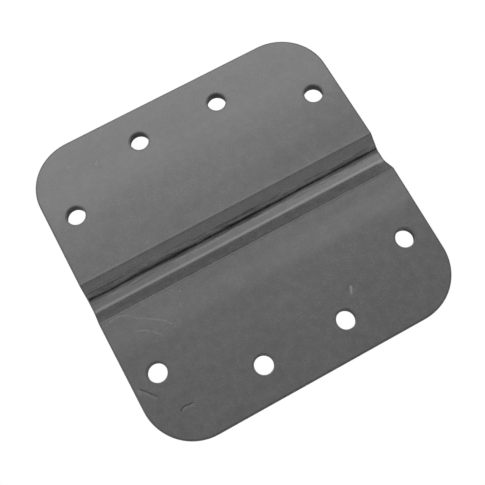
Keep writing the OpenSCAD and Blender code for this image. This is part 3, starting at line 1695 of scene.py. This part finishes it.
@dataclass
class AnchorPlate:
    """The whole plate: two leaves, two flanks and the channel's floor."""

    sizes: PlateSizes
    coat: bpy.types.Material
    edge_coat: bpy.types.Material
    bend_points: int = 12
    run_points: int = 14
    # Rubbed coat and a painted highlight line along each shoulder, fading onto the leaf over a few
    # rows.
    shoulder_wear: float = 0.45
    worn_rows: int = 3
    ripple_height: float = 0.013 * MM
    crown_height: float = 0.2 * MM
    hole_tear: float = 0.15 * MM
    # The sheared land in each hole's wall is painted lighter: bare sheared steel, and also a painted
    # reflection of the pale floor.
    hole_wear: float = 0.9
    waves_per_metre: float = 25.0
    wave_heights: dict[Side, float] = field(default_factory=dict)
    marks: dict[Side, tuple[Mark, ...]] = field(default_factory=dict)
    press: Press = field(default_factory=Press)

    def __post_init__(self) -> None:
        """Makes the edge profile and the shared wall of the holes."""
        self.edge = EdgeProfile(self.sizes.thickness)
        bored = EdgeProfile(
            self.sizes.thickness, tear_inset=self.hole_tear, land_wear=self.hole_wear
        )
        wall = HoleWallBlank(self.sizes, bored)
        wall.draw()
        self.wall = wall.laid_out("hole_wall", Side.REAR)

    def _settings(self, side: Side, centres: bpy.types.Object | None) -> dict[str, object]:
        """Values for the press's named inputs.

        Args:
            side: The side of the channel, which picks the leaf's waves.
            centres: Points at the centres of the holes, if the stretch has any.

        Returns:
            The values by name.
        """
        s = self.sizes
        settings = {
            "Thickness": s.thickness,
            "Ridge Height": s.ridge_height,
            "Shoulder Y": s.channel_top_width / 2,
            "Foot Y": s.channel_floor_width / 2,
            "Leaf Start": s.leaf_start,
            "Shoulder Radius": s.shoulder_radius,
            "Foot Radius": s.foot_radius,
            "Under Shoulder Radius": s.under_shoulder_radius,
            "Under Foot Radius": s.under_foot_radius,
            "Leaf Fall": s.leaf_fall,
            "Ripple Height": self.ripple_height,
            "Ripple Length": s.leaf_start - s.channel_top_width / 2 - 0.3 * MM,
            "Crown Height": self.crown_height,
            "Leaf Length": s.leaf_length * math.cos(s.leaf_fall),
            "Wave Height": self.wave_heights[side],
            "Waves Per Metre": self.waves_per_metre,
            "Wave Seed": 0.31 * side.value,
            "Weld Distance": 0.01 * MM,
            "Face Coat": self.coat,
            "Edge Coat": self.edge_coat,
        }
        if centres is not None:
            settings |= {"Hole Wall": self.wall, "Hole Centres": centres}
        return settings

    def _piece(
        self,
        name: str,
        blank: bpy.types.Object,
        node: str,
        side: Side,
        centres: bpy.types.Object | None = None,
    ) -> bpy.types.Object:
        """Presses a blank and puts the result in the scene.

        Args:
            name: The piece's name.
            blank: The flat blank.
            node: The CAD node that the piece stands for.
            side: The side of the channel.
            centres: Points at the centres of the holes, if the stretch has any.

        Returns:
            The piece.
        """
        mesh = self.press.press(blank, self._settings(side, centres))
        mesh.name = name
        made = bpy.data.objects.new(name, mesh)
        bpy.context.scene.collection.objects.link(made)
        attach(made, BODY)
        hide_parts(node)
        return made

    def leaf(self, side: Side) -> bpy.types.Object:
        """Makes a leaf with its four holes.

        Args:
            side: The side of the channel.

        Returns:
            The piece.
        """
        blank = LeafBlank(self.sizes, self.edge)
        blank.draw(self.marks.get(side, ()))
        flat = blank.laid_out(f"{side.word}_leaf_blank", side)
        points = bpy.data.meshes.new("hole_centres")
        centres = [(x, y * side.value, 0.0) for x, y in self.sizes.hole_centres]
        points.from_pydata(centres, [], [])
        holder = bpy.data.objects.new("hole_centres", points)
        bpy.context.scene.collection.objects.link(holder)
        made = self._piece(f"{side.word}_leaf_sheet", flat, f"{side.word}_leaf", side, holder)
        bpy.data.objects.remove(holder)
        return made

    def flank(self, side: Side) -> bpy.types.Object:
        """Makes a sloping side of the channel with the bends at its foot and its shoulder.

        Args:
            side: The side of the channel.

        Returns:
            The piece.
        """
        s = self.sizes
        bend, run = self.bend_points, self.run_points
        rows = [Row(Stretch.FLOOR)]
        rows += [Row(Stretch.FOOT, i / bend, i / bend) for i in range(1, bend + 1)]
        rows += [Row(Stretch.FLANK, i / 4) for i in range(1, 4)]
        # The shoulder's rows take rubbed coat and a painted highlight line.
        for i in range(bend):
            wear = max(0.0, 2 * i / bend - 1) * self.shoulder_wear
            rows.append(Row(Stretch.SHOULDER, i / bend, i / (bend + run), wear=wear))
        for i in range(run):
            wear = max(0.0, 1 - i / self.worn_rows) * self.shoulder_wear
            under_along = (bend + i) / (bend + run)
            rows.append(Row(Stretch.SHOULDER, 1.0, under_along, i / run, wear))
        rows += [Row(Stretch.LEAF)]
        step = (s.leaf_start - s.floor_half) / (len(rows) - 1)
        rows = [(s.floor_half + step * i, row) for i, row in enumerate(rows)]
        blank = StripBlank(s, self.edge)
        blank.loft(rows)
        flat = blank.laid_out(f"{side.word}_flank_blank", side)
        return self._piece(f"{side.word}_flank_sheet", flat, f"{side.word}_flank", side)

    def channel_floor(self) -> bpy.types.Object:
        """Makes the flat strip between the two flanks.

        Returns:
            The piece.
        """
        half = self.sizes.floor_half
        blank = StripBlank(self.sizes, self.edge)
        blank.loft([(half * i / 2, Row(Stretch.FLOOR)) for i in (-2, -1, 0, 1, 2)])
        flat = blank.laid_out("channel_floor_blank", Side.REAR)
        return self._piece("channel_floor_sheet", flat, "channel_floor", Side.REAR)

    def build(self) -> list[bpy.types.Object]:
        """Makes every piece.

        Returns:
            The pieces, from the rear leaf to the front one.
        """
        made = [
            self.leaf(Side.REAR),
            self.flank(Side.REAR),
            self.channel_floor(),
            self.flank(Side.FRONT),
            self.leaf(Side.FRONT),
        ]
        bpy.data.objects.remove(self.wall)
        return made


# --------------------------------------------------------------------------------------
# The studio
# --------------------------------------------------------------------------------------


@dataclass
class Studio:
    """A pale floor, a tent of soft light round the plate, and the camera."""

    eye: tuple[float, float, float] = (-49.64 * MM, -115.17 * MM, 391.70 * MM)
    right: tuple[float, float, float] = (0.8767, -0.4803, -0.0267)
    up: tuple[float, float, float] = (0.4663, 0.8348, 0.2929)
    lens: float = 65.30
    sensor: float = 36.0
    floor_size: float = 12.0
    floor_drop: float = 0.1 * MM
    floor_grey: float = 0.8
    floor_glow: float = 0.16
    # Towards its ends and low down the tent eases to one even brightness. These are how far
    # sideways and how far upwards a direction points where that begins and is complete.
    end_reach: Spot = (0.42, 0.75)
    low_reach: Spot = (0.32, 0.14)
    even_brightness: float = 0.85
    # The tent's brightness by its angle from straight up, in degrees towards the rear.
    tent: tuple[Spot, ...] = (
        (-90, 1.9),
        (-75, 1.85),
        (-62, 0.7),
        (-50, 0.0),
        (-38, 0.0),
        (-26, 0.18),
        (-14, 0.58),
        (-4, 0.66),
        (4, 0.62),
        (12, 1.2),
        (19, 1.1),
        (25, 0.8),
        (31, 1.95),
        (40, 1.88),
        (52, 1.5),
        (66, 1.6),
        (80, 1.9),
        (95, 1.4),
    )

    def camera(self) -> bpy.types.Object:
        """Sets up the camera and makes it the scene's own.

        Returns:
            The camera.
        """
        data = bpy.data.cameras.new("camera")
        data.lens = self.lens
        data.sensor_width = self.sensor
        data.clip_start = 0.01
        made = bpy.data.objects.new("camera", data)
        right, up = Vector(self.right).normalized(), Vector(self.up)
        up = (up - right * up.dot(right)).normalized()
        turn = Matrix((right, up, right.cross(up))).transposed()
        made.matrix_world = Matrix.LocRotScale(Vector(self.eye), turn, None)
        bpy.context.scene.collection.objects.link(made)
        bpy.context.scene.camera = made
        return made

    def floor(self) -> bpy.types.Object:
        """Lays a pale light table, which glows evenly under the plate and is clear from below.

        Returns:
            The floor.
        """
        bm = bmesh.new()
        bmesh.ops.create_grid(bm, x_segments=1, y_segments=1, size=self.floor_size / 2)
        bmesh.ops.translate(bm, vec=(0, 0, -self.floor_drop), verts=bm.verts)
        mesh = bpy.data.meshes.new("floor")
        bm.to_mesh(mesh)
        bm.free()
        made = bpy.data.objects.new("floor", mesh)
        pale = bpy.data.materials.new("pale_table")
        pale.use_nodes = True
        g = Graph(pale.node_tree)
        g.tree.nodes.clear()
        path = g.node("ShaderNodeLightPath")
        seen = g.wire(path, "Is Camera Ray")
        mirrored = g.wire(path, "Is Glossy Ray")
        strength = seen + mirrored * self.floor_glow
        glow = g.node("ShaderNodeEmission", Color=(1.0, 1.0, 1.0, 1.0), Strength=strength)
        grey = self.floor_grey
        matt = g.node("ShaderNodeBsdfDiffuse", Color=(grey, grey, grey, 1.0))
        clear = g.node("ShaderNodeBsdfTransparent")
        top = self._either(g, (seen + mirrored).socket, matt, glow)
        back = g.node("ShaderNodeNewGeometry").outputs["Backfacing"]
        both = self._either(g, back, top, clear)
        g.node("ShaderNodeOutputMaterial", Surface=both.outputs[0])
        mesh.materials.append(pale)
        bpy.context.scene.collection.objects.link(made)
        return made

    def _either(
        self, g: Graph, switch: bpy.types.NodeSocket, off: bpy.types.Node, on: bpy.types.Node
    ) -> bpy.types.Node:
        """Picks one of two shaders.

        Args:
            g: The graph to write to.
            switch: The output that picks the second shader where it is 1.
            off: The first shader's node.
            on: The second shader's node.

        Returns:
            The node with the result.
        """
        made = g.node("ShaderNodeMixShader", Fac=switch)
        g.tree.links.new(off.outputs[0], made.inputs[1])
        g.tree.links.new(on.outputs[0], made.inputs[2])
        return made

    def surroundings(self) -> None:
        """Paints the tent that the coat mirrors: brighter to the rear, with a dark gap in front."""
        world = bpy.data.worlds.new("studio")
        world.use_nodes = True
        bpy.context.scene.world = world
        g = Graph(world.node_tree)
        g.tree.nodes.clear()
        x, y, z = g.split(g.wire(g.node("ShaderNodeTexCoord"), "Generated"))
        lean = g.math("ARCTAN2", y, z) / (2 * math.pi) + 0.5
        tent = g.node("ShaderNodeValToRGB", Fac=lean)
        stops = tent.color_ramp.elements
        stops.remove(stops[1])
        peak = max(brightness for _, brightness in self.tent)
        for degrees, brightness in self.tent:
            stop = stops.new(degrees / 360 + 0.5)
            stop.color = (*[brightness / peak] * 3, 1.0)
        stops.remove(stops[0])
        at_end = g.ramp(g.math("ABSOLUTE", x), *self.end_reach)
        low = g.ramp(z, *self.low_reach)
        even = g.math("MAXIMUM", at_end, low)
        light = g.mix(even, g.wire(tent, "Color") * peak, self.even_brightness)
        glow = g.node("ShaderNodeBackground", Color=(1.0, 1.0, 1.0, 1.0), Strength=light)
        seen = g.node("ShaderNodeBackground", Color=(1.0, 1.0, 1.0, 1.0), Strength=1.0)
        path = g.node("ShaderNodeLightPath")
        shown = self._either(g, path.outputs["Is Camera Ray"], glow, seen)
        g.node("ShaderNodeOutputWorld", Surface=shown.outputs[0])

    def build(self) -> None:
        """Sets up the whole studio."""
        self.camera()
        self.floor()
        self.surroundings()
        bpy.context.scene.view_settings.view_transform = "Standard"


MARKS = {
    Side.FRONT: (
        Gouge(
            ((-73.3 * MM, 44.4 * MM), (-70.2 * MM, 47.9 * MM), (-67.8 * MM, 50.9 * MM)),
            0.4 * MM,
            0.05 * MM,
            lean=0.4,
        ),
        Gouge(
            ((-61.7 * MM, 60.7 * MM), (-59.6 * MM, 59.8 * MM), (-55.6 * MM, 60.2 * MM)),
            0.4 * MM,
            0.06 * MM,
            lean=0.4,
        ),
        Dent((29.4 * MM, 50.4 * MM), 1.6 * MM, 0.09 * MM),
    ),
    Side.REAR: (
        Gouge(((20.9 * MM, 73.2 * MM), (20.5 * MM, 67.9 * MM)), 0.4 * MM, 0.05 * MM, lean=0.4),
    ),
}


def main() -> None:
    """Builds the plate and its studio and reports each piece."""
    logging.basicConfig(level=logging.INFO, format="%(name)s: %(message)s")
    sizes = PlateSizes.from_frame(frame)
    effects = Effects()
    plate = AnchorPlate(
        sizes,
        FACE_COAT.material(effects),
        EDGE_COAT.material(effects),
        wave_heights={Side.REAR: 0.25 * MM, Side.FRONT: 0.45 * MM},
        marks=MARKS,
    )
    for piece in plate.build():
        LOG.info("%s: %d faces", piece.name, len(piece.data.polygons))
    Studio().build()


if __name__ == "__main__":
    main()
